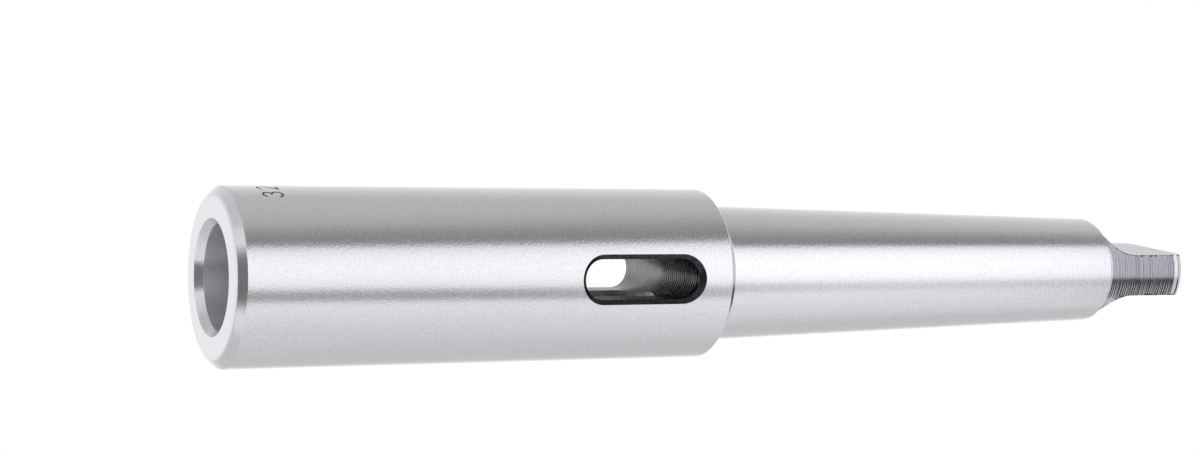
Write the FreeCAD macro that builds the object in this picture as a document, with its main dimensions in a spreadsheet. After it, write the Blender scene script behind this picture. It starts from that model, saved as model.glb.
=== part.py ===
import FreeCAD, Part
import math
import os
import Sketcher

# An extension sleeve for taper-shank drills: one turned, ground and milled piece of
# hardened steel.  The row frame stands it on its mouth: +Z runs along the axis from the
# mouth face at z = 0 up to the tang, and the drift slot goes through along Y.

DOCUMENT = FreeCAD.newDocument("taper_sleeve_model")
NODE = "taper_sleeve"

# Driving dimensions in millimetres (angles in degrees), one row of the sheet for each.
DIMENSIONS = [
    # the plain cylindrical body
    ("body_dia", 30.0, "outside diameter of the body"),
    ("mouth_chamfer", 1.5, "45 degree chamfer round the outside of the mouth"),
    ("shoulder_chamfer", 0.5, "45 degree chamfer on the shoulder's rim"),
    # the outside taper, size 3
    ("shank_dia", 24.1, "diameter of the taper where it meets the shoulder"),
    ("shank_taper", 19.922, "length over which the outside taper loses 1 mm of diameter"),
    ("cone_length", 86.0, "shoulder to the small end of the outside taper"),
    ("root_radius", 2.0, "fillet in the corner between shoulder and taper"),
    # the tang
    ("tang_step", 0.39, "radial step from the taper's small end down to the tang"),
    ("tang_length", 18.5, "small end of the outside taper to the end of the tang"),
    ("tang_thickness", 7.9, "across the two flats"),
    ("flat_length", 12.0, "parallel part of the flats, measured from the tang's end"),
    ("runout_radius", 7.0, "cutter radius at the inner end of the flats"),
    ("tang_end_radius", 2.0, "radius round the end of the tang"),
    ("tang_roll", 4.5, "turn of the flats about the axis, measured from the slot"),
    ("pilot_dia", 2.0, "pilot of the centre hole in the end of the tang"),
    ("pilot_depth", 4.5, "depth of the centre hole's pilot"),
    ("centre_width", 1.125, "radial width of the centre hole's 60 degree mouth"),
    # the inside taper, size 2
    ("socket_dia", 17.78, "diameter of the socket taper at the mouth face"),
    ("socket_taper", 20.02, "length over which the socket loses 1 mm of diameter"),
    ("countersink_width", 0.81, "radial width of the 60 degree countersink at the mouth"),
    ("plain_bore", 3.5, "end of the ground socket taper to the slot's nearer end"),
    ("bore_reach", 17.0, "slot's nearer end to the end of the full bore"),
    ("drill_point", 118.0, "included angle of the drilled bottom of the bore"),
    # the drift slot
    ("slot_start", 61.0, "mouth face to the slot's nearer end"),
    ("slot_length", 22.0, "end to end, over the round ends"),
    ("slot_margin", 6.5, "slot's further end to the shoulder"),
    ("slot_width", 6.9, "across the slot, and the diameter of its round ends"),
    ("slot_chamfer", 0.85, "45 degree chamfer round both openings of the slot"),
]

# The root fillet never takes more than this share of the shoulder's flat ring.
FILLET_SHARE = 0.9

# Sizes worked out from the driving dimensions.
DERIVED = [
    ("body_radius", "body_dia / 2"),
    ("slot_end", "slot_start + slot_length"),
    ("body_length", "slot_end + slot_margin"),
    ("cone_end", "body_length + cone_length"),
    ("overall_length", "cone_end + tang_length"),
    ("shank_radius", "shank_dia / 2"),
    ("shoulder_width", "body_radius - shank_radius - shoulder_chamfer"),
    ("root_fillet", "min(root_radius; %g * shoulder_width)" % FILLET_SHARE),
    ("cone_end_radius", "shank_radius - cone_length / shank_taper / 2"),
    ("tang_radius", "cone_end_radius - tang_step"),
    ("tang_half", "tang_thickness / 2"),
    ("flat_start", "overall_length - flat_length"),
    ("runout_edge", "tang_half + runout_radius"),
    ("socket_radius", "socket_dia / 2"),
    ("countersink_depth", "countersink_width / tan(30 deg)"),
    ("ground_length", "slot_start - plain_bore"),
    ("bore_depth", "slot_start + bore_reach"),
    ("bore_radius", "socket_radius - ground_length / socket_taper / 2"),
    ("bore_point", "bore_depth + bore_radius / tan(drill_point * 1 deg / 2)"),
    ("slot_half", "slot_width / 2"),
    ("slot_low", "slot_start + slot_half"),
    ("slot_high", "slot_end - slot_half"),
    ("pilot_radius", "pilot_dia / 2"),
    ("centre_radius", "pilot_radius + centre_width"),
    ("centre_cone", "centre_width / tan(30 deg)"),
]

SMALL = 0.01            # how near a point has to lie to count as being on a surface

# Sketcher's own numbers for its two axes, and for the points of a line or an arc.
HORIZONTAL_AXIS, VERTICAL_AXIS = range(-1, -3, -1)
START, END, CENTRE = range(1, 4)


def fill_sheet():
    """The spreadsheet that every sketch and feature reads its sizes from."""
    sheet = DOCUMENT.addObject("Spreadsheet::Sheet", "sizes")
    cells = [(name, str(value), note) for name, value, note in DIMENSIONS]
    cells += [(name, "=" + formula, "worked out") for name, formula in DERIVED]
    for row, (name, content, note) in enumerate(cells, start=1):
        sheet.set("A%d" % row, name)
        sheet.set("B%d" % row, content)
        sheet.set("C%d" % row, note)
        sheet.setAlias("B%d" % row, name)
    DOCUMENT.recompute()
    return sheet


def size(name):
    """The number in one cell of the sheet."""
    return float(getattr(SHEET, name))


def in_sheet(formula):
    """A formula in which every word is read from the sheet; its signs stand apart."""
    return " ".join("sizes." + word if word[0].isalpha() else word for word in formula.split())


def origin_plane(body, role):
    """One of the three base planes of a body."""
    for feature in body.Origin.OriginFeatures:
        if feature.Role == role:
            return feature
    raise RuntimeError("no base plane called " + role)


def axial_sketch(body, name):
    """An empty sketch on a plane through the axis: its x is X, its y is Z, it faces -Y."""
    sketch = body.newObject("Sketcher::SketchObject", name)
    sketch.AttachmentSupport = (origin_plane(body, "XZ_Plane"), [""])
    sketch.MapMode = "FlatFace"
    return sketch


def tie(sketch, kind, geometry, formula, point=None):
    """A dimension of a sketch that follows a formula; from the origin if it has a point."""
    value = in_sheet(formula)
    number = sketch.evalExpression(value)
    if point is None:
        constraint = Sketcher.Constraint(kind, geometry, number)
    else:
        constraint = Sketcher.Constraint(kind, HORIZONTAL_AXIS, START, geometry, point, number)
    index = sketch.addConstraint(constraint)
    sketch.setExpression("Constraints[%d]" % index, value)


def tie_point(sketch, geometry, point, across, along):
    """Put a point at two formulas; an empty formula puts it on that axis instead."""
    if across:
        tie(sketch, "DistanceX", geometry, across, point)
    else:
        sketch.addConstraint(Sketcher.Constraint(
            "PointOnObject", geometry, point, VERTICAL_AXIS))
    if along:
        tie(sketch, "DistanceY", geometry, along, point)
    else:
        sketch.addConstraint(Sketcher.Constraint(
            "PointOnObject", geometry, point, HORIZONTAL_AXIS))


def spot(sketch, across, along):
    """The place in the sketch's plane that two formulas give now."""
    numbers = [sketch.evalExpression(in_sheet(text)) if text else 0 for text in (across, along)]
    return FreeCAD.Vector(float(numbers[0]), float(numbers[1]), 0)


def straight_outline(sketch, corners):
    """A closed outline of straight lines with every corner tied to its formulas."""
    spots = [spot(sketch, across, along) for across, along in corners]
    count = len(corners)
    lines = [sketch.addGeometry(Part.LineSegment(spots[i], spots[(i + 1) % count]))
             for i in range(count)]
    for i, line in enumerate(lines):
        following = lines[(i + 1) % count]
        sketch.addConstraint(Sketcher.Constraint("Coincident", line, END, following, START))
        tie_point(sketch, line, START, *corners[i])


def turned_blank(body):
    """The outside as it comes off the lathe, with sharp corners."""
    sketch = axial_sketch(body, "outside_section")
    straight_outline(sketch, [
        ("", ""),
        ("body_radius", ""),
        ("body_radius", "body_length"),
        ("shank_radius", "body_length"),
        ("cone_end_radius", "cone_end"),
        ("tang_radius", "cone_end + tang_step"),
        ("tang_radius", "overall_length"),
        ("", "overall_length"),
    ])
    blank = body.newObject("PartDesign::Revolution", "turned_outside")
    blank.Profile = sketch
    blank.ReferenceAxis = (sketch, ["V_Axis"])
    DOCUMENT.recompute()
    return blank


def rim(feature, radius, height):
    """The circular edge of that radius, round the axis at that height."""
    names = []
    for number, edge in enumerate(feature.Shape.Edges, start=1):
        round_edge = isinstance(edge.Curve, Part.Circle)
        if (round_edge and abs(edge.Curve.Radius - radius) < SMALL
                and abs(edge.Curve.Center.z - height) < SMALL):
            names.append("Edge%d" % number)
    if not names:
        raise RuntimeError("no rim of radius %.3f at height %.3f" % (radius, height))
    return names


def dress(body, kind, name, base, edges, setting, source):
    """A chamfer or a fillet on some edges, its size read from the sheet."""
    feature = body.newObject("PartDesign::" + kind, name)
    feature.Base = (base, edges)
    feature.setExpression(setting, "sizes." + source)
    DOCUMENT.recompute()
    return feature


def dress_outside(body, blank):
    """Break the outside corners and round the inside one at the shoulder."""
    done = dress(body, "Chamfer", "mouth_bevel", blank,
                 rim(blank, size("body_radius"), 0), "Size", "mouth_chamfer")
    done = dress(body, "Chamfer", "shoulder_bevel", done,
                 rim(done, size("body_radius"), size("body_length")), "Size", "shoulder_chamfer")
    done = dress(body, "Fillet", "root_fillet", done,
                 rim(done, size("shank_radius"), size("body_length")), "Radius", "root_fillet")
    return dress(body, "Fillet", "tang_end_rounding", done,
                 rim(done, size("tang_radius"), size("overall_length")),
                 "Radius", "tang_end_radius")


def turned_hole(body, name, corners):
    """A hole on the axis, cut by turning its section round it."""
    before = body.Shape.Volume
    sketch = axial_sketch(body, name + "_section")
    straight_outline(sketch, corners)
    hole = body.newObject("PartDesign::Groove", name)
    hole.Profile = sketch
    hole.ReferenceAxis = (sketch, ["V_Axis"])
    DOCUMENT.recompute()
    check_cut(body, hole, before)


def check_cut(body, feature, before):
    """Stop if a cut took nothing away."""
    if not body.Shape.Volume < before - SMALL:
        raise RuntimeError(feature.Name + " cuts nothing")


def socket(body):
    """The countersunk inside taper and the drilled bore past its ground length."""
    turned_hole(body, "socket", [
        ("", ""),
        ("socket_radius + countersink_width", ""),
        ("socket_radius - countersink_depth / socket_taper / 2", "countersink_depth"),
        ("bore_radius", "ground_length"),
        ("bore_radius", "bore_depth"),
        ("", "bore_point"),
    ])


def centre_hole(body):
    """The lathe centre's hole in the end of the tang."""
    turned_hole(body, "centre_hole", [
        ("", "overall_length"),
        ("centre_radius", "overall_length"),
        ("pilot_radius", "overall_length - centre_cone"),
        ("pilot_radius", "overall_length - pilot_depth"),
        ("", "overall_length - pilot_depth"),
    ])


def cut_through(body, name, sketch):
    """A pocket that goes through the whole piece on both sides of its sketch."""
    before = body.Shape.Volume
    pocket = body.newObject("PartDesign::Pocket", name)
    pocket.Profile = sketch
    pocket.Type = "ThroughAll"
    pocket.SideType = "Symmetric"
    DOCUMENT.recompute()
    check_cut(body, pocket, before)
    return pocket


def slot_sketch(body):
    """The drift slot's outline: two straight sides joined by half circles."""
    sketch = axial_sketch(body, "slot_outline")
    low, high, half = size("slot_low"), size("slot_high"), size("slot_half")
    axis = FreeCAD.Vector(0, 0, 1)
    quarter = math.pi / 2
    right = sketch.addGeometry(Part.LineSegment(
        FreeCAD.Vector(half, low, 0), FreeCAD.Vector(half, high, 0)))
    upper = sketch.addGeometry(Part.ArcOfCircle(
        Part.Circle(FreeCAD.Vector(0, high, 0), axis, half), 0, 2 * quarter))
    left = sketch.addGeometry(Part.LineSegment(
        FreeCAD.Vector(-half, high, 0), FreeCAD.Vector(-half, low, 0)))
    lower = sketch.addGeometry(Part.ArcOfCircle(
        Part.Circle(FreeCAD.Vector(0, low, 0), axis, half), 2 * quarter, 4 * quarter))
    for first, second in ((right, upper), (upper, left), (left, lower), (lower, right)):
        sketch.addConstraint(Sketcher.Constraint("Tangent", first, END, second, START))
    sketch.addConstraint(Sketcher.Constraint("Vertical", right))
    tie_point(sketch, upper, CENTRE, "", "slot_high")
    tie_point(sketch, lower, CENTRE, "", "slot_low")
    tie(sketch, "Radius", upper, "slot_half")
    return sketch


def slot_rims(feature):
    """The edges where the slot breaks through the outside of the body."""
    radius = size("body_radius")
    reach = size("slot_half")
    names = []
    for number, edge in enumerate(feature.Shape.Edges, start=1):
        if edge.Degenerated:    # a point, such as the drilled bottom's
            continue
        points = edge.discretize(5)
        outside = all(abs(math.hypot(p.x, p.y) - radius) < SMALL for p in points)
        in_slot = all(abs(p.x) < reach + SMALL
                      and size("slot_start") - SMALL < p.z < size("slot_end") + SMALL
                      for p in points)
        if outside and in_slot:
            names.append("Edge%d" % number)
    if not names:
        raise RuntimeError("the slot doesn't break through the body")
    return names


def drift_slot(body):
    """The slot that a drift is driven through, bevelled round both openings."""
    cut = cut_through(body, "drift_slot", slot_sketch(body))
    dress(body, "Chamfer", "slot_bevel", cut, slot_rims(cut), "Size", "slot_chamfer")


def flat_sketch(body, name, side):
    """What the cutter takes off one side of the tang, with its run-out arc."""
    sketch = axial_sketch(body, name)
    sketch.AttachmentOffset = FreeCAD.Placement(
        FreeCAD.Vector(), FreeCAD.Rotation(FreeCAD.Vector(0, 1, 0), 1))
    sketch.setExpression("AttachmentOffset.Rotation.Angle",
                         "(sizes.tang_roll + %d) * 1 deg" % side)
    beyond_end = "overall_length + runout_radius"
    beyond_side = "runout_edge + shank_radius"
    arc_end = "flat_start - runout_radius"
    corners = [("tang_half", beyond_end), ("tang_half", "flat_start"),
               ("runout_edge", arc_end), (beyond_side, arc_end), (beyond_side, beyond_end)]
    spots = [spot(sketch, across, along) for across, along in corners]
    cutter = Part.Circle(spot(sketch, "runout_edge", "flat_start"),
                         FreeCAD.Vector(0, 0, 1), size("runout_radius"))
    flat = sketch.addGeometry(Part.LineSegment(spots[0], spots[1]))
    runout = sketch.addGeometry(Part.ArcOfCircle(cutter, math.pi, math.pi * 1.5))
    inner = sketch.addGeometry(Part.LineSegment(spots[2], spots[3]))
    outer = sketch.addGeometry(Part.LineSegment(spots[3], spots[4]))
    top = sketch.addGeometry(Part.LineSegment(spots[4], spots[0]))
    pieces = [flat, runout, inner, outer, top]
    for i, piece in enumerate(pieces):
        following = pieces[(i + 1) % len(pieces)]
        sketch.addConstraint(Sketcher.Constraint("Coincident", piece, END, following, START))
        tie_point(sketch, piece, START, *corners[i])
    tie(sketch, "Radius", runout, "runout_radius")
    return sketch


def tang(body):
    """Mill the two flats of the tang, one from each side."""
    for name, side in (("first_flat", 0), ("second_flat", 180)):
        cut_through(body, name, flat_sketch(body, name + "_outline", side))


def make_sleeve():
    """The whole sleeve as one body."""
    body = DOCUMENT.addObject("PartDesign::Body", NODE)
    body.Label = NODE
    dress_outside(body, turned_blank(body))
    socket(body)
    centre_hole(body)
    drift_slot(body)
    tang(body)
    return body


def check_document(body):
    """Stop before anything is written if an object failed or the shape isn't one solid."""
    DOCUMENT.recompute()
    for item in DOCUMENT.Objects:
        if "Invalid" in item.State or "Error" in item.State:
            raise RuntimeError("%s failed: %s" % (item.Name, item.State))
    shape = body.Shape
    if shape.isNull() or not shape.isValid() or len(shape.Solids) != 1:
        raise RuntimeError(body.Label + " isn't one valid solid")


def write_part(body):
    """One STEP file, named after the piece."""
    os.makedirs("parts", exist_ok=True)
    solid = body.Shape.Solids[0]
    solid.exportStep("parts/%s.step" % body.Label)
    box = solid.BoundBox
    print("%s: volume %.1f mm3, centre of mass z %.2f mm, box %.2f x %.2f x %.2f mm" % (
        body.Label, solid.Volume, solid.CenterOfMass.z, box.XLength, box.YLength, box.ZLength))


SHEET = fill_sheet()
SLEEVE = make_sleeve()
check_document(SLEEVE)
write_part(SLEEVE)
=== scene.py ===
import math
import random

import bmesh
import bpy
from mathutils import Matrix, Vector


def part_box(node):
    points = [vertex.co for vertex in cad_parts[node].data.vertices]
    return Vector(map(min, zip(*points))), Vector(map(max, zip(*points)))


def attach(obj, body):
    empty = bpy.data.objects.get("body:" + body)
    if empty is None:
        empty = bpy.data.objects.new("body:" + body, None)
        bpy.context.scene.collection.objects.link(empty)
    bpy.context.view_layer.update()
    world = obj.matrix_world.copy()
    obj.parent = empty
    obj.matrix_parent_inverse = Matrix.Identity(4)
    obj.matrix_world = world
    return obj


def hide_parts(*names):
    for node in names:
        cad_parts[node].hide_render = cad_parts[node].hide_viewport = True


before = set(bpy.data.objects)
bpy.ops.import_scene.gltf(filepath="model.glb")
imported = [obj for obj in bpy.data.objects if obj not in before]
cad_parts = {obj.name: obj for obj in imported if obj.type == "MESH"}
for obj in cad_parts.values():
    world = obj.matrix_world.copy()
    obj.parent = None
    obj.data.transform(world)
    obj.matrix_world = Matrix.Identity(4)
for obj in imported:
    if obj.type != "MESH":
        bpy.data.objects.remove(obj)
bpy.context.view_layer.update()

bl_info = {
    "name": "Taper sleeve",
    "version": (1, 0, 0),
    "blender": (4, 5, 0),
    "location": "View3D > Sidebar > Taper sleeve",
    "description": "Dresses a ground steel taper sleeve and sets up a plain studio round it",
    "category": "Object",
}

NODE = "taper_sleeve"
LOW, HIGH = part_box(NODE)
MM = 0.001
FINISHES = ("ground_steel", "faced_mouth", "ground_bore", "reamed_bore", "drilled_bore",
            "slot_bevel", "slot_walls", "turned_tang", "milled_flats", "marking")

# The two numbers by the mouth: stroke width and foot in mm, place round the body, shares.
MARK_WIDTH = 0.36
MARK_FOOT = 10.2
MARK_ANGLE = math.radians(-67)
MARK_ACROSS = 0.85
MARK_ALONG = 0.82

# How far the slot's tool reaches past the bevel, how that part slopes, and the land below it.
BEVEL_LEAD = 1.2
BEVEL_DRAFT = math.radians(12)
BEVEL_LAND = 0.35

# The cutter's steps on the slot's far half, against those on its near half.
FAR_PITCH = 0.55
FAR_DEPTH = 0.25
LEVELS_PER_STEP = 6


# ---------------------------------------------------------------- sizes and colours

def length(name, millimetres, description):
    """A property that holds a length."""
    return bpy.props.FloatProperty(name=name, description=description,
                                   default=millimetres * MM, unit="LENGTH", precision=5)


def ratio(name, value, description):
    """A property that holds a plain number."""
    return bpy.props.FloatProperty(name=name, description=description, default=value)


def angle(name, degrees, description):
    """A property that holds an angle."""
    return bpy.props.FloatProperty(name=name, description=description,
                                   default=math.radians(degrees), subtype="ANGLE")


def count(name, value, description):
    """A property that holds a whole number."""
    return bpy.props.IntProperty(name=name, description=description, default=value, min=3)


def colour(name, value, description):
    """A property that holds a colour."""
    return bpy.props.FloatVectorProperty(name=name, description=description, default=value,
                                         size=3, min=0, max=1, subtype="COLOR")


class SleeveSizes(bpy.types.PropertyGroup):
    """The sleeve's sizes, in the same terms as the solid's."""

    body_radius: length("Body radius", (HIGH.x - LOW.x) / 2 / MM, "Radius of the plain body")
    overall: length("Overall length", HIGH.z / MM, "Mouth face to the end of the tang")
    body_length: length("Body length", 89.5, "Mouth face to shoulder")
    mouth_chamfer: length("Mouth chamfer", 1.5, "Chamfer round the outside of the mouth")
    mouth_round: length("Mouth rounding", 1.2, "Radius between mouth face and chamfer")
    shoulder_chamfer: length("Shoulder chamfer", 0.5, "Chamfer on the shoulder's rim")
    shank_radius: length("Shank radius", 12.05, "Radius of the taper at the shoulder")
    shank_taper: ratio("Shank taper", 19.922, "Length of taper for each unit of diameter")
    cone_length: length("Cone length", 86.0, "Shoulder to the small end of the taper")
    root_fillet: length("Root fillet", 2.0, "Radius between shoulder and taper")
    tang_step: length("Tang step", 0.39, "Radial step from the taper to the tang")
    tang_half: length("Half tang", 3.95, "Half the tang's thickness")
    flat_length: length("Flat length", 12.0, "Parallel part of the tang's flats")
    runout: length("Run-out", 7.0, "Cutter radius at the inner end of the flats")
    tang_end: length("Tang end radius", 2.0, "Radius round the end of the tang")
    tang_roll: angle("Tang roll", 4.5, "Turn of the flats from the slot")
    pilot_radius: length("Pilot radius", 1.0, "Radius of the centre hole's pilot")
    pilot_depth: length("Pilot depth", 4.5, "Depth of the centre hole's pilot")
    centre_width: length("Centre width", 1.125, "Radial width of the centre hole's cone")
    socket_radius: length("Socket radius", 8.89, "Radius of the socket at the mouth face")
    socket_taper: ratio("Socket taper", 20.02, "Length of socket for each unit of diameter")
    countersink: length("Countersink", 0.81, "Radial width of the 60 degree countersink")
    ground_length: length("Ground length", 57.5, "Mouth face to the end of the ground socket")
    bore_depth: length("Bore depth", 78.0, "Mouth face to the end of the full bore")
    drill_point: angle("Drill point", 118, "Included angle of the bore's bottom")
    slot_start: length("Slot start", 61.0, "Mouth face to the slot's nearer end")
    slot_end: length("Slot end", 83.0, "Mouth face to the slot's further end")
    slot_half: length("Half slot", 3.45, "Half the slot's width")
    slot_chamfer: length("Slot chamfer", 0.85, "Chamfer round the slot's openings")
    edge_round: length("Edge rounding", 0.1, "Radius that deburring leaves on the edges")
    cutter_pitch: length("Cutter pitch", 0.75, "Spacing of the steps that the slot's cutter left")
    cutter_step: length("Cutter step", 0.04, "Height of those steps")
    feed: length("Feed", 0.45, "Mean spacing of the turning marks on the tang")
    feed_slope: angle("Feed slope", 7.5, "Slope of the turning marks on the tang")
    mark_depth: length("Mark depth", 0.05, "Depth of the numbers by the mouth")
    facets: count("Facets", 320, "Flat facets round the sleeve")


class StudioSettings(bpy.types.PropertyGroup):
    """Where the camera stands and how the studio is lit."""

    camera_place: bpy.props.FloatVectorProperty(
        name="Camera place", description="Where the camera stands", subtype="XYZ",
        unit="LENGTH", default=(-0.0264158, -0.3657541, -0.1109494), precision=5)
    camera_aim: bpy.props.FloatVectorProperty(
        name="Camera aim", description="Direction in which the camera looks",
        subtype="DIRECTION", default=(0.043583, 0.895066, 0.443798), precision=5)
    camera_up: bpy.props.FloatVectorProperty(
        name="Camera up", description="Direction that is up in the picture",
        subtype="DIRECTION", default=(-0.998797, 0.049027, -0.000792), precision=5)
    camera_lens: ratio("Lens", 69.683, "Focal length on a sensor 36 mm wide")
    floor_colour: colour("Floor", (0.86, 0.86, 0.86), "Colour of the floor")
    floor_radius: length("Floor radius", 420, "Radius at which the floor has faded away")


class FinishColours(bpy.types.PropertyGroup):
    """The colours of the steel's finishes."""

    steel: colour("Ground steel", (0.825, 0.825, 0.86), "Ground and polished steel")
    scale: colour("Scale", (0.075, 0.08, 0.088), "Black scale left in the slot by hardening")
    milled: colour("Milled steel", (0.33, 0.335, 0.345), "Milled steel inside the slot")
    tang: colour("Tang", (0.74, 0.75, 0.79), "Turned and hardened steel of the tang")
    mark: colour("Mark", (0.10, 0.10, 0.11), "Etched bottom of the numbers")


# ---------------------------------------------------------------- sections and meshes

class Surface:
    """A face of the sleeve: its finish, and the way it faces at a point of it."""

    known = []

    def __init__(self, finish, facing=None):
        self.finish = FINISHES.index(finish)
        self.facing = facing
        self.number = len(Surface.known)
        Surface.known.append(self)


class Stretch:
    """One straight or round stretch of a section, with the finish it carries."""

    def __init__(self, finish, points, centre=None, hollow=False):
        self.finish = finish
        self.points = points
        self.centre = centre
        self.hollow = hollow

    def facing(self, across, along):
        """The outward direction in the section, at one of the stretch's points."""
        if self.centre is None:
            run = self.points[-1] - self.points[0]
            return Vector((run.y, -run.x)).normalized()
        away = (Vector((across, along)) - self.centre).normalized()
        return -away if self.hollow else away


def section(corners, steps):
    """Stretches through corners given as (across, along, rounding, finish that follows)."""
    stretches = []
    begin = Vector(corners[0][:2])
    for i in range(1, len(corners)):
        here = Vector(corners[i][:2])
        finish = corners[i - 1][3]
        rounding = corners[i][2]
        if rounding == 0 or i == len(corners) - 1:
            stretches.append(Stretch(finish, [begin, here]))
            begin = here
            continue
        arriving = (here - begin).normalized()
        leaving = (Vector(corners[i + 1][:2]) - here).normalized()
        turn = arriving.angle(leaving)
        reach = rounding * math.tan(turn / 2)
        start = here - arriving * reach
        hollow = arriving.x * leaving.y - arriving.y * leaving.x < 0
        right = Vector((arriving.y, -arriving.x))
        centre = start + right * (rounding if hollow else -rounding)
        arc = []
        for k in range(steps + 1):
            swing = turn * k / steps * (-1 if hollow else 1)
            arc.append(centre + Matrix.Rotation(swing, 2) @ (start - centre))
        stretches.append(Stretch(finish, [begin, start]))
        stretches.append(Stretch(finish, arc, centre, hollow))
        begin = arc[-1]
    return stretches


def raw_mesh(name, points, faces, marks):
    """A mesh object whose faces are marked with the numbers of their surfaces."""
    mesh = bpy.data.meshes.new(name)
    mesh.from_pydata([p[:] for p in points], [], faces)
    stamp = mesh.attributes.new("surface", "INT", "FACE")
    stamp.data.foreach_set("value", marks)
    work = bmesh.new()
    work.from_mesh(mesh)
    bmesh.ops.recalc_face_normals(work, faces=work.faces)
    work.to_mesh(mesh)
    work.free()
    made = bpy.data.objects.new(name, mesh)
    bpy.context.scene.collection.objects.link(made)
    return made


def turned(stretch):
    """The surface that a stretch of a section sweeps round the axis."""

    def facing(point, middle):
        radius = math.hypot(point.x, point.y)
        lean = stretch.facing(radius, point.z)
        if radius < 1e-5:
            radius = math.hypot(middle.x, middle.y)
            point = middle
        return Vector((lean.x * point.x / radius, lean.x * point.y / radius, lean.y))

    return Surface(stretch.finish, facing)


def lathe(name, stretches, facets):
    """Turns a section that begins and ends on the axis."""
    points, faces, marks = [], [], []

    def ring(spot):
        if spot.x < 1e-6:
            points.append(Vector((0, 0, spot.y)))
            return [len(points) - 1]
        first = len(points)
        for k in range(facets):
            swing = 2 * math.pi * k / facets
            points.append(Vector((spot.x * math.cos(swing), spot.x * math.sin(swing), spot.y)))
        return list(range(first, first + facets))

    last = ring(stretches[0].points[0])
    for stretch in stretches:
        number = turned(stretch).number
        for spot in stretch.points[1:]:
            this = ring(spot)
            for k in range(facets):
                j = (k + 1) % facets
                if len(last) == 1:
                    faces.append((last[0], this[j], this[k]))
                elif len(this) == 1:
                    faces.append((last[k], last[j], this[0]))
                else:
                    faces.append((last[k], last[j], this[j], this[k]))
                marks.append(number)
            last = this
    return raw_mesh(name, points, faces, marks)


def loft(name, rings, numbers, ends):
    """Skins a stack of like rings and closes both ends."""
    size = len(rings[0])
    points = [p for ring in rings for p in ring]
    faces, marks = [], []
    for i in range(len(rings) - 1):
        for k in range(size):
            j = (k + 1) % size
            faces.append((i * size + k, i * size + j, (i + 1) * size + j, (i + 1) * size + k))
            marks.append(numbers[i])
    faces.append(tuple(reversed(range(size))))
    faces.append(tuple(range((len(rings) - 1) * size, len(rings) * size)))
    marks += [ends, ends]
    return raw_mesh(name, points, faces, marks)


def cut(piece, tool):
    """Takes one closed mesh out of another."""
    step = piece.modifiers.new("cut", "BOOLEAN")
    step.operation = "DIFFERENCE"
    step.solver = "EXACT"
    step.object = tool
    bpy.context.view_layer.update()
    ready = piece.evaluated_get(bpy.context.evaluated_depsgraph_get())
    shape = bpy.data.meshes.new_from_object(ready)
    piece.modifiers.remove(step)
    old, leftover = piece.data, tool.data
    piece.data = shape
    bpy.data.meshes.remove(old)
    bpy.data.objects.remove(tool)
    bpy.data.meshes.remove(leftover)


# ---------------------------------------------------------------- the sleeve's parts

class InMillimetres:
    """The sleeve's sizes as plain numbers in millimetres."""

    def __init__(self, sizes):
        plain = ("shank_taper", "socket_taper", "tang_roll", "drill_point", "feed_slope",
                 "facets")
        for name in SleeveSizes.__annotations__:
            value = getattr(sizes, name)
            setattr(self, name, value if name in plain else value / MM)
        self.cone_end = self.body_length + self.cone_length
        self.cone_end_radius = self.shank_radius - self.cone_length / self.shank_taper / 2
        self.tang_radius = self.cone_end_radius - self.tang_step
        self.flat_start = self.overall - self.flat_length
        self.bore_radius = self.socket_radius - self.ground_length / self.socket_taper / 2
        self.bore_point = self.bore_depth + self.bore_radius / math.tan(self.drill_point / 2)


def feed_marks(s):
    """Corners of the shallow uneven teeth that the turning tool left along the tang."""
    chance = random.Random(5)
    corners = []
    foot = s.cone_end + s.tang_step + 0.3
    last = s.overall - s.tang_end - 0.1
    while foot < last - s.feed * 1.5:
        run = s.feed * chance.uniform(0.6, 1.4)
        depth = run * math.tan(s.feed_slope * chance.uniform(0.85, 1.15))
        corners.append((s.tang_radius, foot, 0, "turned_tang"))
        corners.append((s.tang_radius - depth, foot + run * 0.9, 0, "turned_tang"))
        foot += run
    corners.append((s.tang_radius, foot, 0, "turned_tang"))
    return corners


def turned_body(s):
    """The turned outside, socket and centre hole, as one closed mesh."""
    edge = s.edge_round
    sink_top = s.socket_radius + s.countersink
    sink_foot = s.countersink / math.tan(math.radians(30))
    sink_radius = s.socket_radius - sink_foot / s.socket_taper / 2
    centre_radius = s.pilot_radius + s.centre_width
    centre_foot = s.overall - s.centre_width * math.tan(math.radians(60))
    outline = [
        (0, s.bore_point, 0, "drilled_bore"),
        (s.bore_radius, s.bore_depth, 0, "reamed_bore"),
        (s.bore_radius, s.ground_length, 0, "ground_bore"),
        (sink_radius, sink_foot, edge, "faced_mouth"),
        (sink_top, 0, edge * 0.8, "faced_mouth"),
        (s.body_radius - s.mouth_chamfer, 0, s.mouth_round, "faced_mouth"),
        (s.body_radius, s.mouth_chamfer, edge * 3, "ground_steel"),
        (s.body_radius, s.body_length - s.shoulder_chamfer, edge, "ground_steel"),
        (s.body_radius - s.shoulder_chamfer, s.body_length, edge, "ground_steel"),
        (s.shank_radius, s.body_length, s.root_fillet, "ground_steel"),
        (s.cone_end_radius, s.cone_end, edge, "turned_tang"),
        (s.tang_radius, s.cone_end + s.tang_step, edge, "turned_tang"),
        *feed_marks(s),
        (s.tang_radius, s.overall, s.tang_end, "turned_tang"),
        (centre_radius, s.overall, edge * 0.8, "turned_tang"),
        (s.pilot_radius, centre_foot, 0, "turned_tang"),
        (s.pilot_radius, s.overall - s.pilot_depth, 0, "turned_tang"),
        (0, s.overall - s.pilot_depth, 0, "turned_tang"),
    ]
    return lathe("sleeve", section(outline, 8), s.facets)


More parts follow.
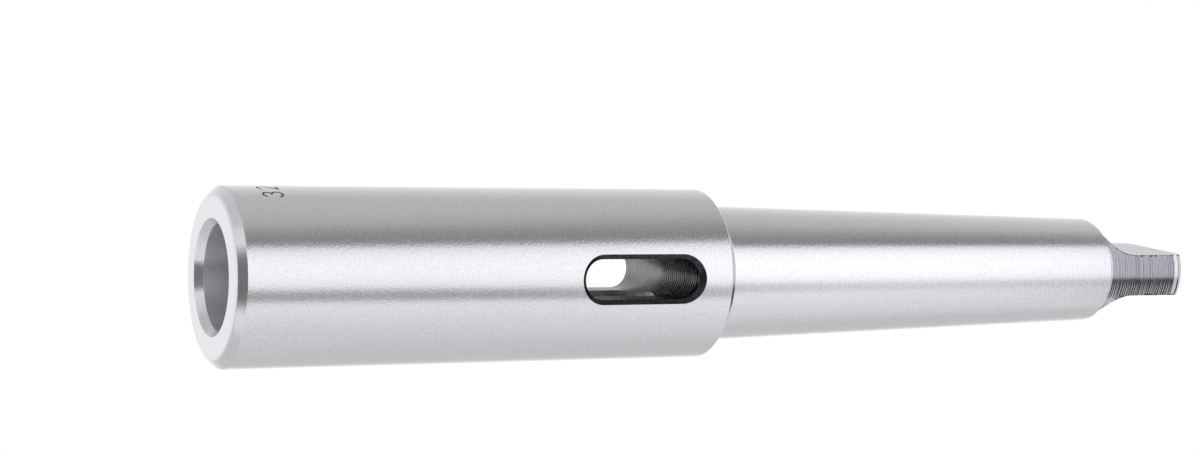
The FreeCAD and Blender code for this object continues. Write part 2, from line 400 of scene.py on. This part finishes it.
class DriftSlot:
    """The slot through the body, with a bevel round each opening."""

    def __init__(self, s):
        self.s = s
        self.low = s.slot_start + s.slot_half
        self.high = s.slot_end - s.slot_half

    def place(self, x, z):
        """Distance out of the slot's outline at a point, and the way out."""
        out = Vector((x, z - min(max(z, self.low), self.high)))
        return out.length - self.s.slot_half, out.normalized()

    def outline(self, steps):
        """Points round the slot's outline, each with the way out."""
        spots = []
        for middle, start in ((self.high, 0), (self.low, math.pi)):
            for k in range(steps + 1):
                swing = start + math.pi * k / steps
                out = Vector((math.cos(swing), math.sin(swing)))
                spots.append((Vector((0, middle)) + out * self.s.slot_half, out))
        return spots

    def height(self, x):
        """Distance from the slot's middle plane to the body's outside."""
        return math.sqrt(self.s.body_radius ** 2 - x * x)

    def step(self, y):
        """How far the cutter's steps stand back in the wall, and their slope."""
        pitch = self.s.cutter_pitch * (1.0 if y < 0 else FAR_PITCH)
        depth = self.s.cutter_step * (1.0 if y < 0 else FAR_DEPTH)
        phase = math.pi * y / pitch
        slope = depth * math.pi / pitch * math.cos(phase)
        return depth * abs(math.sin(phase)), slope if math.sin(phase) > 0 else -slope

    def mouth(self, stretch, side):
        """The surface that a stretch of the bevel's section gives round an opening."""

        def facing(point, middle):
            distance, out = self.place(point.x, point.z)
            top = self.height(point.x)
            lean = stretch.facing(distance, abs(point.y) - top)
            return Vector((out.x, 0, out.y)) * lean.x + Vector(
                (point.x / top, side, 0)) * lean.y

        return Surface(stretch.finish, facing)

    def wall_facing(self, point, middle):
        """The way the wall faces at a point, read a little towards the face's middle."""
        distance, out = self.place(point.x, point.z)
        nudged = point.y + (middle.y - point.y) * 0.05
        return Vector((-out.x, self.step(nudged)[1], -out.y))

    def tool(self):
        """The closed mesh that cuts the slot."""
        s = self.s
        spots = self.outline(30)
        clear = s.body_radius + 2
        lift = math.tan(BEVEL_DRAFT)
        bevel = section([
            (s.slot_chamfer + BEVEL_LEAD, BEVEL_LEAD * lift, 0, "slot_bevel"),
            (s.slot_chamfer, 0, s.edge_round * 1.5, "slot_bevel"),
            (0, -s.slot_chamfer, s.edge_round * 1.5, "slot_bevel"),
            (0, -s.slot_chamfer - BEVEL_LAND, 0, "slot_bevel"),
        ], 5)
        wall = Surface("slot_walls", self.wall_facing).number

        def mouth_ring(across, rise, side):
            ring = []
            for spot, out in spots:
                x = spot.x + out.x * across
                z = spot.y + out.y * across
                ring.append(Vector((x, side * (self.height(x) + rise), z)))
            return ring

        def level_ring(y, across):
            return [Vector((spot.x + out.x * across, y, spot.y + out.y * across))
                    for spot, out in spots]

        def opening(side):
            rings, numbers = [level_ring(side * clear, bevel[0].points[0].x)], [wall]
            rings.append(mouth_ring(bevel[0].points[0].x, bevel[0].points[0].y, side))
            for stretch in bevel:
                number = self.mouth(stretch, side).number
                for spot in stretch.points[1:]:
                    rings.append(mouth_ring(spot.x, spot.y, side))
                    numbers.append(number)
            return rings, numbers

        near_rings, near_numbers = opening(-1)
        far_rings, far_numbers = opening(1)
        reach = self.height(s.slot_half) - s.slot_chamfer - 0.5
        levels = []
        for side, pitch in ((-1, s.cutter_pitch), (1, s.cutter_pitch * FAR_PITCH)):
            steps = int(reach / pitch)
            for k in range(steps * LEVELS_PER_STEP + 1):
                levels.append(side * pitch * k / LEVELS_PER_STEP)
        levels = sorted(set(levels))
        walls = [level_ring(y, self.step(y)[0]) for y in levels]
        rings = near_rings + walls + far_rings[::-1]
        numbers = near_numbers + [wall] * (len(walls) + 1) + far_numbers[::-1]
        return loft("slot", rings, numbers, wall)


def flat_tool(s, side):
    """The closed mesh that mills one of the tang's flats."""
    away = Vector((math.cos(s.tang_roll), math.sin(s.tang_roll), 0)) * side
    wide = Vector((-math.sin(s.tang_roll), math.cos(s.tang_roll), 0))
    clear = s.body_radius
    corners = [(s.tang_half + clear, s.overall + 2, 0, "milled_flats"),
               (s.tang_half, s.overall + 2, 0, "milled_flats"),
               (s.tang_half, s.flat_start, 0, "milled_flats")]
    path = [Vector(c[:2]) for c in corners[1:]]
    centre = Vector((s.tang_half + s.runout, s.flat_start))
    turns = 40
    for k in range(1, turns + 1):
        swing = math.radians(88) * k / turns
        path.append(centre - Vector((math.cos(swing), math.sin(swing))) * s.runout)
    path.append(Vector((s.tang_half + clear, path[-1].y)))
    path.append(Vector((s.tang_half + clear, s.overall + 2)))

    def facing(point, middle):
        if middle.z >= s.flat_start:
            return away
        back = Vector((point.dot(away), point.z))
        back = (centre - back).normalized()
        return away * back.x + Vector((0, 0, back.y))

    number = Surface("milled_flats", facing).number
    rings = [[away * p.x + wide * shift + Vector((0, 0, p.y)) for p in path]
             for shift in (-clear, clear)]
    return loft("flat", rings, [number], number)


def stroke_tool(s, path, width, middle_angle):
    """The closed mesh that engraves one stroke of a number on the body."""
    floor = Surface("marking").number
    rings = []
    for i, spot in enumerate(path):
        before = path[max(i - 1, 0)]
        after = path[min(i + 1, len(path) - 1)]
        run = (after - before).normalized()
        side = Vector((-run.y, run.x)) * width / 2
        ring = []
        for edge, radius in ((spot - side, s.body_radius - s.mark_depth),
                             (spot + side, s.body_radius - s.mark_depth),
                             (spot + side, s.body_radius + 0.2),
                             (spot - side, s.body_radius + 0.2)):
            swing = middle_angle - edge.x / s.body_radius
            ring.append(Vector((radius * math.sin(swing), -radius * math.cos(swing), edge.y)))
        rings.append(ring)
    return loft("stroke", rings, [floor] * len(path), floor)


def bow(centre, radius, start, stop, steps):
    """Points on an arc, with angles in degrees."""
    return [Vector(centre) + Vector((math.cos(math.radians(a)), math.sin(math.radians(a)))) * radius
            for a in (start + (stop - start) * k / steps for k in range(steps + 1))]


def line(start, stop, steps=10):
    """Points on a straight line."""
    return [Vector(start).lerp(Vector(stop), k / steps) for k in range(steps + 1)]


def number_strokes():
    """The strokes of a 3 and a 2, 4.5 mm high, upright, with the foot at zero."""
    three = [bow((0, 3.33), 0.92, 165, -90, 22), bow((0, 1.33), 1.08, 90, -165, 24)]
    two = [bow((0, 3.2), 1.05, 165, -38, 18)[:-1] + line((0.83, 2.55), (-1.08, 0.28)),
           line((-1.3, 0.25), (1.12, 0.25))]
    return ((0.0, three), (3.9, two))


def shade(piece):
    """Sets each face's finish and the exact directions in which the faces look."""
    mesh = piece.data
    marks = [0] * len(mesh.polygons)
    mesh.attributes["surface"].data.foreach_get("value", marks)
    mesh.polygons.foreach_set("use_smooth", [True] * len(marks))
    mesh.polygons.foreach_set("material_index", [Surface.known[m].finish for m in marks])
    directions = [None] * len(mesh.loops)
    for face, mark in zip(mesh.polygons, marks):
        surface = Surface.known[mark]
        middle = face.center
        for corner in face.loop_indices:
            if surface.facing is None:
                directions[corner] = face.normal[:]
                continue
            point = mesh.vertices[mesh.loops[corner].vertex_index].co
            directions[corner] = surface.facing(point, middle).normalized()[:]
    mesh.attributes.remove(mesh.attributes["surface"])
    mesh.transform(Matrix.Scale(MM, 4))
    mesh.normals_split_custom_set(directions)


# ---------------------------------------------------------------- materials

class Tree:
    """A short way to add and join the nodes of a tree."""

    def __init__(self, tree):
        self.tree = tree

    def add(self, kind, inputs=None, **settings):
        node = self.tree.nodes.new(kind)
        for name, value in settings.items():
            setattr(node, name, value)
        for name, value in (inputs or {}).items():
            if isinstance(value, bpy.types.NodeSocket):
                self.tree.links.new(value, node.inputs[name])
            else:
                node.inputs[name].default_value = value
        return node

    def math(self, operation, *values):
        return self.add("ShaderNodeMath", dict(enumerate(values)), operation=operation).outputs[0]

    def blend(self, factor, first, second):
        node = self.add("ShaderNodeMix", {0: factor, 6: first, 7: second}, data_type="RGBA")
        return node.outputs[2]

    def fit(self, value, low, high, to_low, to_high, smooth=False):
        kind = "SMOOTHSTEP" if smooth else "LINEAR"
        inputs = {"Value": value, "From Min": low, "From Max": high,
                  "To Min": to_low, "To Max": to_high}
        return self.add("ShaderNodeMapRange", inputs, interpolation_type=kind).outputs[0]

    def link(self, start, end):
        self.tree.links.new(start, end)


def group(name, inputs, outputs):
    """A new node group with named number or colour sockets."""
    tree = bpy.data.node_groups.new(name, "ShaderNodeTree")
    for title, value in inputs:
        socket = tree.interface.new_socket(title, in_out="INPUT", socket_type="NodeSocketFloat")
        socket.default_value = value
    for title in outputs:
        tree.interface.new_socket(title, in_out="OUTPUT", socket_type="NodeSocketFloat")
    start = tree.nodes.new("NodeGroupInput")
    end = tree.nodes.new("NodeGroupOutput")
    return Tree(tree), start.outputs, end.inputs


def tool_marks():
    """A group that draws marks left round the axis by a wheel or a turning tool."""
    tree, start, end = group(
        "tool marks",
        (("Lines per mm", 4.0), ("Round stretch", 0.25), ("Specks per mm", 3.0),
         ("Speck share", 0.5)),
        ("Height", "Lines", "Specks", "Cloud"))
    place = tree.add("ShaderNodeTexCoord").outputs["Object"]
    size = tree.add("ShaderNodeVectorMath", {0: place, "Scale": 1 / MM}, operation="SCALE")
    apart = tree.add("ShaderNodeSeparateXYZ", {0: size.outputs[0]}).outputs
    across = [tree.math("MULTIPLY", axis, start["Round stretch"]) for axis in apart[:2]]
    along = tree.math("MULTIPLY", apart[2], start["Lines per mm"])
    lines_at = tree.add("ShaderNodeCombineXYZ", {0: across[0], 1: across[1], 2: along})
    lines = tree.add("ShaderNodeTexNoise", {
        "Vector": lines_at.outputs[0], "Scale": 1.0, "Detail": 3.0, "Roughness": 0.65})
    specks = tree.add("ShaderNodeTexNoise", {
        "Vector": size.outputs[0], "Scale": start["Specks per mm"], "Detail": 2.0,
        "Roughness": 0.6})
    cloud = tree.add("ShaderNodeTexNoise", {
        "Vector": size.outputs[0], "Scale": 0.12, "Detail": 3.0, "Roughness": 0.55})
    height = tree.add("ShaderNodeMix", {
        0: start["Speck share"], 2: lines.outputs[0], 3: specks.outputs[0]}, data_type="FLOAT")
    tree.link(height.outputs[0], end["Height"])
    tree.link(lines.outputs[0], end["Lines"])
    tree.link(specks.outputs[0], end["Specks"])
    tree.link(cloud.outputs[0], end["Cloud"])
    return tree.tree


def steel(name, look, marks, bump, rough, tint):
    """A metal material with tool marks: returns it with its tree, shader and paint."""
    material = bpy.data.materials.new(name)
    material.use_nodes = True
    tree = Tree(material.node_tree)
    shader = material.node_tree.nodes["Principled BSDF"]
    shader.inputs["Metallic"].default_value = 1.0
    worked = tree.add("ShaderNodeGroup", node_tree=bpy.data.node_groups["tool marks"])
    for title, value in marks.items():
        worked.inputs[title].default_value = value
    relief = tree.add("ShaderNodeBump", {
        "Strength": 1.0, "Distance": bump * MM, "Height": worked.outputs["Height"]})
    tree.link(relief.outputs[0], shader.inputs["Normal"])
    tree.link(tree.fit(worked.outputs["Lines"], 0.3, 0.7, *rough), shader.inputs["Roughness"])
    dark = tuple(c * tint for c in look) + (1,)
    paint = tree.blend(tree.fit(worked.outputs["Height"], 0.36, 0.64, 0, 1),
                       dark, tuple(look) + (1,))
    tree.link(paint, shader.inputs["Base Color"])
    return material, tree, shader, paint


def flat_edge(sizes):
    """A group that masks the rim where the turned tang meets its milled flats."""
    tree, start, end = group("flat edge", (("Width", 0.4), ("Raggedness", 0.5)), ("Edge",))
    place = tree.add("ShaderNodeTexCoord").outputs["Object"]
    size = tree.add("ShaderNodeVectorMath", {0: place, "Scale": 1 / MM}, operation="SCALE")
    across = (math.cos(sizes.tang_roll), math.sin(sizes.tang_roll), 0)
    off = tree.add("ShaderNodeVectorMath", {0: size.outputs[0], 1: across},
                   operation="DOT_PRODUCT").outputs["Value"]
    off = tree.math("ABSOLUTE", off)
    along = tree.add("ShaderNodeSeparateXYZ", {0: size.outputs[0]}).outputs[2]
    before = tree.math("MAXIMUM", tree.math("SUBTRACT", sizes.flat_start, along), 0.0)
    rest = tree.math("SUBTRACT", sizes.runout ** 2, tree.math("POWER", before, 2.0))
    rise = tree.math("SUBTRACT", sizes.runout, tree.math("SQRT", tree.math("MAXIMUM", rest, 0.0)))
    edge = tree.math("ADD", rise, sizes.tang_half)
    inside = tree.math("SUBTRACT", edge, off)
    noise = tree.add("ShaderNodeTexNoise", {"Vector": size.outputs[0], "Scale": 0.9,
                                            "Detail": 4.0, "Roughness": 0.7})
    ragged = tree.math("MULTIPLY", tree.math("SUBTRACT", noise.outputs[0], 0.5),
                       start["Raggedness"])
    width = tree.math("ADD", start["Width"], tree.math("MULTIPLY", ragged, 4.0))
    mask = tree.fit(tree.math("SUBTRACT", width, inside), 0.0, 0.25, 0, 1, True)
    tree.link(mask, end["Edge"])
    return tree.tree


def burr(made, burnt, width):
    """Darkens the rim next to the tang's flats in a steel material."""
    material, tree, shader, paint = made
    rim = tree.add("ShaderNodeGroup", node_tree=bpy.data.node_groups["flat edge"])
    rim.inputs["Width"].default_value = width
    tree.link(tree.blend(rim.outputs["Edge"], paint, tuple(burnt) + (1,)),
              shader.inputs["Base Color"])
    return material


def cutter_marks_and_painted_shade(made, dark, s):
    """Draws the cutter's ridges across the slot's walls as painted highlights, bold on the near
    half, which is painted near black as painted shade.
    """
    material, tree, shader, paint = made
    place = tree.add("ShaderNodeTexCoord").outputs["Object"]
    size = tree.add("ShaderNodeVectorMath", {0: place, "Scale": 1 / MM}, operation="SCALE")
    depth = tree.add("ShaderNodeSeparateXYZ", {0: size.outputs[0]}).outputs[1]
    stretched = tree.add("ShaderNodeVectorMath", {0: size.outputs[0], 1: (0.35, 2.6, 0.35)},
                         operation="MULTIPLY")
    fine = tree.add("ShaderNodeTexNoise", {"Vector": stretched.outputs[0], "Scale": 1.0,
                                           "Detail": 3.0, "Roughness": 0.6}).outputs[0]
    far = tree.blend(tree.fit(fine, 0.35, 0.65, 0, 1), (0.16, 0.165, 0.17, 1), paint)
    wave = tree.math("SINE", tree.math("MULTIPLY", depth, math.pi / s.cutter_pitch))
    # Painted highlight: the crests of the cutter's ridges on the near half are painted light.
    crest_highlight = tree.fit(tree.math("ABSOLUTE", wave), 0.45, 0.1, 0, 1, True)
    broken_crest_highlight = tree.math("MULTIPLY", crest_highlight, tree.fit(fine, 0.35, 0.55, 0.2, 1, True))
    # Painted shade: the near half is painted near black, with the painted crest highlights on it.
    near = tree.blend(broken_crest_highlight, tuple(dark) + (1,), (0.55, 0.57, 0.60, 1))
    # Mask of the painted shade: the near half (negative y) is dark, the far half keeps its fine
    # streaks.
    side = tree.fit(depth, -2.0, 2.0, 1, 0, True)
    tree.link(tree.blend(side, far, near), shader.inputs["Base Color"])
    return material


def make_materials(colours, s):
    """One material for each finish, in the order of FINISHES."""
    tool_marks()
    flat_edge(s)
    steel_colour = tuple(colours.steel)
    scale_colour = tuple(colours.scale)
    ground = steel("ground steel", steel_colour, {
        "Lines per mm": 5.0, "Round stretch": 0.3, "Specks per mm": 2.6, "Speck share": 0.8},
        0.022, (0.15, 0.21), 0.88)[0]
    faced = steel("faced mouth", steel_colour, {
        "Lines per mm": 3.0, "Round stretch": 0.5, "Specks per mm": 3.0, "Speck share": 0.8},
        0.014, (0.17, 0.25), 0.88)[0]
    socket = steel("ground bore", steel_colour, {
        "Lines per mm": 5.0, "Round stretch": 0.4, "Specks per mm": 2.4, "Speck share": 0.6},
        0.03, (0.38, 0.48), 0.85)
    socket[2].inputs["Anisotropic"].default_value = 0.85
    socket[2].inputs["Anisotropic Rotation"].default_value = 0.25
    reamed = steel("reamed bore", steel_colour, {
        "Lines per mm": 2.0, "Round stretch": 0.2, "Specks per mm": 2.0, "Speck share": 0.3},
        0.02, (0.45, 0.6), 0.9)[0]
    # Painted shade: the tint of 0.3 darkens the drill point at the bottom of the blind bore.
    drilled = steel("drilled bore", steel_colour, {
        "Lines per mm": 2.0, "Round stretch": 0.2, "Specks per mm": 2.0, "Speck share": 0.3},
        0.02, (0.5, 0.65), 0.3)[0]
    bevel = steel("slot bevel", scale_colour, {
        "Lines per mm": 1.0, "Round stretch": 0.6, "Specks per mm": 2.0, "Speck share": 0.8},
        0.012, (0.3, 0.42), 0.35)[0]
    # The near-black colour passed below is painted shade on the near half of the slot's walls.
    walls = cutter_marks_and_painted_shade(steel("slot walls", tuple(colours.milled), {
        "Lines per mm": 1.0, "Round stretch": 2.5, "Specks per mm": 3.0, "Speck share": 0.4},
        0.01, (0.25, 0.35), 0.7), (0.022, 0.024, 0.027), s)
    tang = burr(steel("turned tang", tuple(colours.tang), {
        "Lines per mm": 2.4, "Round stretch": 0.06, "Specks per mm": 2.4, "Speck share": 0.3},
        0.008, (0.14, 0.2), 0.72), scale_colour, 0.25)
    flats = steel("milled flats", tuple(colours.tang), {
        "Lines per mm": 1.2, "Round stretch": 0.8, "Specks per mm": 1.8, "Speck share": 0.5},
        0.012, (0.25, 0.35), 0.75)[0]
    mark = steel("marking", tuple(colours.mark), {
        "Lines per mm": 4.0, "Round stretch": 4.0, "Specks per mm": 5.0, "Speck share": 0.6},
        0.01, (0.4, 0.5), 0.6)[0]
    return [ground, faced, socket[0], reamed, drilled, bevel, walls, tang, flats, mark]


# ---------------------------------------------------------------- operators

class SLEEVE_OT_dress(bpy.types.Operator):
    """Build the sleeve at full detail, with its finishes, in place of the plain solid."""

    bl_idname = "sleeve.dress"
    bl_label = "Sleeve"

    def execute(self, context):
        s = InMillimetres(context.scene.sleeve_sizes)
        piece = turned_body(s)
        for offset, strokes in number_strokes():
            for path in strokes:
                placed = [Vector(((spot.x + offset) * MARK_ACROSS,
                                  MARK_FOOT - spot.y * MARK_ALONG)) for spot in path]
                cut(piece, stroke_tool(s, placed, MARK_WIDTH, MARK_ANGLE))
        cut(piece, DriftSlot(s).tool())
        for side in (-1, 1):
            cut(piece, flat_tool(s, side))
        for material in make_materials(context.scene.sleeve_colours, s):
            piece.data.materials.append(material)
        shade(piece)
        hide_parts(NODE)
        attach(piece, "root")
        return {"FINISHED"}


class SLEEVE_OT_studio(bpy.types.Operator):
    """Put up the camera, the light and the floor."""

    bl_idname = "sleeve.studio"
    bl_label = "Studio"

    def execute(self, context):
        look = context.scene.sleeve_studio
        context.scene.view_settings.view_transform = "Standard"
        self.camera(context, look)
        self.light(context)
        self.floor(context, look)
        return {"FINISHED"}

    def camera(self, context, look):
        """Stand the camera where the settings say."""
        lens = bpy.data.cameras.new("camera")
        lens.lens = look.camera_lens
        lens.sensor_width = 36
        lens.clip_start = 0.01
        camera = bpy.data.objects.new("camera", lens)
        context.scene.collection.objects.link(camera)
        back = -Vector(look.camera_aim).normalized()
        side = Vector(look.camera_up).cross(back).normalized()
        up = back.cross(side)
        place = Matrix((side, up, back)).transposed().to_4x4()
        place.translation = Vector(look.camera_place)
        camera.matrix_world = place
        context.scene.camera = camera

    def light(self, context):
        """Surround the sleeve with soft panels and the darker gaps between them."""
        world = bpy.data.worlds.new("studio")
        context.scene.world = world
        world.use_nodes = True
        tree = Tree(world.node_tree)
        background = world.node_tree.nodes["Background"]
        way = tree.add("ShaderNodeTexCoord").outputs["Generated"]
        x, y, z = tree.add("ShaderNodeSeparateXYZ", {0: way}).outputs

        def ramp(stops):
            """Levels from one side to the other; the two ends come first."""
            node = tree.add("ShaderNodeValToRGB", {0: tree.fit(x, -1, 1, 0, 1)})
            points = node.color_ramp.elements
            for i, (sideways, level) in enumerate(stops):
                spot = (sideways + 1) / 2
                if i < 2:
                    point = points[i]
                    point.position = spot
                else:
                    point = points.new(spot)
                point.color = (level, level, level, 1)
            return node.outputs[0]

        front_low = ramp([(-1, 0.55), (1, 0.70), (-0.91, 0.50), (-0.82, 0.33), (-0.66, 0.22),
                          (-0.60, 0.95), (-0.45, 1.10), (-0.25, 1.17), (0.0, 1.12),
                          (0.18, 0.98), (0.24, 0.42), (0.40, 0.34), (0.46, 0.94),
                          (0.62, 0.90), (0.85, 0.78)])
        front_high = ramp([(-1, 0.50), (1, 0.72), (-0.91, 0.45), (-0.82, 0.38), (-0.68, 0.20),
                           (-0.62, 1.10), (-0.45, 1.32), (-0.25, 1.38), (0.0, 1.35),
                           (0.20, 1.18), (0.26, 0.92), (0.40, 0.86), (0.46, 0.97),
                           (0.62, 0.95), (0.80, 0.82)])
        back = ramp([(-1, 0.55), (1, 0.70), (-0.9, 0.57), (-0.8, 0.57), (-0.6, 0.70),
                     (-0.3, 0.84), (0.0, 1.02), (0.3, 0.95), (0.5, 0.64), (0.8, 0.64)])
        front = tree.blend(tree.fit(z, 0.42, 0.60, 0, 1, True), front_low, front_high)
        around = tree.blend(tree.fit(y, -0.25, 0.25, 0, 1, True), front, back)
        below = ramp([(-1, 0.60), (1, 0.75), (-0.44, 0.95), (-0.34, 0.20), (0.34, 0.16),
                      (0.44, 0.95)])
        near = tree.fit(y, -0.05, 0.15, 1, 0, True)
        low = tree.math("MULTIPLY", tree.fit(z, -0.52, -0.42, 1, 0, True), near)
        around = tree.blend(low, around, below)
        crown_side = tree.fit(x, 0.20, 0.24, 0.66, 0.03, True)
        crown = tree.add("ShaderNodeCombineColor", {0: crown_side, 1: crown_side,
                                                    2: tree.math("MULTIPLY", crown_side, 1.1)})
        high = tree.math("MULTIPLY", tree.fit(z, 0.68, 0.71, 0, 1, True),
                         tree.fit(y, -0.15, 0.0, 1, 0, True))
        whole = tree.blend(high, around, crown.outputs[0])
        whole = tree.blend(tree.fit(z, 0.90, 0.93, 0, 1, True), whole, (0.95, 0.95, 0.97, 1))
        tree.link(whole, background.inputs["Color"])
        white = tree.add("ShaderNodeBackground")
        white.inputs["Color"].default_value = (1, 1, 1, 1)
        seen = tree.add("ShaderNodeLightPath").outputs["Is Camera Ray"]
        both = tree.add("ShaderNodeMixShader", {0: seen, 1: background.outputs[0],
                                                2: white.outputs[0]})
        tree.link(both.outputs[0], world.node_tree.nodes["World Output"].inputs["Surface"])

    def floor(self, context, look):
        """Lay a pale floor that fades away with distance."""
        cells = 6
        size = look.floor_radius
        mesh = bpy.data.meshes.new("floor")
        work = bmesh.new()
        bmesh.ops.create_grid(work, x_segments=cells, y_segments=cells, size=size)
        work.to_mesh(mesh)
        work.free()
        floor = bpy.data.objects.new("floor", mesh)
        floor.location.z = -0.0002
        context.scene.collection.objects.link(floor)
        material = bpy.data.materials.new("floor")
        material.use_nodes = True
        tree = Tree(material.node_tree)
        material.node_tree.nodes.remove(material.node_tree.nodes["Principled BSDF"])
        pale = tree.add("ShaderNodeBsdfDiffuse")
        clear = tree.add("ShaderNodeBsdfTransparent")
        place = tree.add("ShaderNodeTexCoord").outputs["Object"]
        away = tree.add("ShaderNodeVectorMath", {0: place}, operation="LENGTH").outputs["Value"]
        grain = tree.add("ShaderNodeTexNoise", {"Vector": place, "Scale": 900.0, "Detail": 2.0})
        shade_of = tree.fit(grain.outputs[0], 0.3, 0.7, 0.98, 1.0)
        tint = tree.add("ShaderNodeVectorMath", {0: tuple(look.floor_colour),
                                                 "Scale": shade_of}, operation="SCALE")
        tree.link(tint.outputs[0], pale.inputs["Color"])
        present = tree.fit(away, size * 0.45, size * 0.98, 1, 0, True)
        seen = tree.add("ShaderNodeLightPath").outputs["Is Camera Ray"]
        above = tree.add("ShaderNodeNewGeometry").outputs["Backfacing"]
        present = tree.math("MULTIPLY", present, seen)
        present = tree.math("MULTIPLY", present, tree.math("SUBTRACT", 1.0, above))
        both = tree.add("ShaderNodeMixShader", {0: present, 1: clear.outputs[0],
                                                2: pale.outputs[0]})
        tree.link(both.outputs[0], material.node_tree.nodes["Material Output"].inputs[0])
        mesh.materials.append(material)


class VIEW3D_PT_sleeve(bpy.types.Panel):
    """Lists the sleeve's operators and settings."""

    bl_label = "Taper sleeve"
    bl_idname = "VIEW3D_PT_sleeve"
    bl_space_type = "VIEW_3D"
    bl_region_type = "UI"
    bl_category = "Taper sleeve"

    def draw(self, context):
        layout = self.layout
        layout.operator("sleeve.studio")
        layout.operator("sleeve.dress")
        for settings in (context.scene.sleeve_sizes, context.scene.sleeve_studio,
                         context.scene.sleeve_colours):
            column = layout.column()
            for name in type(settings).__annotations__:
                column.prop(settings, name)


SETTINGS = {"sleeve_sizes": SleeveSizes, "sleeve_studio": StudioSettings,
            "sleeve_colours": FinishColours}
CLASSES = (SleeveSizes, StudioSettings, FinishColours, SLEEVE_OT_studio, SLEEVE_OT_dress,
           VIEW3D_PT_sleeve)


def register():
    for item in CLASSES:
        bpy.utils.register_class(item)
    for name, kind in SETTINGS.items():
        setattr(bpy.types.Scene, name, bpy.props.PointerProperty(type=kind))


def unregister():
    for name in SETTINGS:
        delattr(bpy.types.Scene, name)
    for item in reversed(CLASSES):
        bpy.utils.unregister_class(item)


def main():
    register()
    bpy.ops.sleeve.studio()
    bpy.ops.sleeve.dress()


if __name__ == "__main__":
    main()
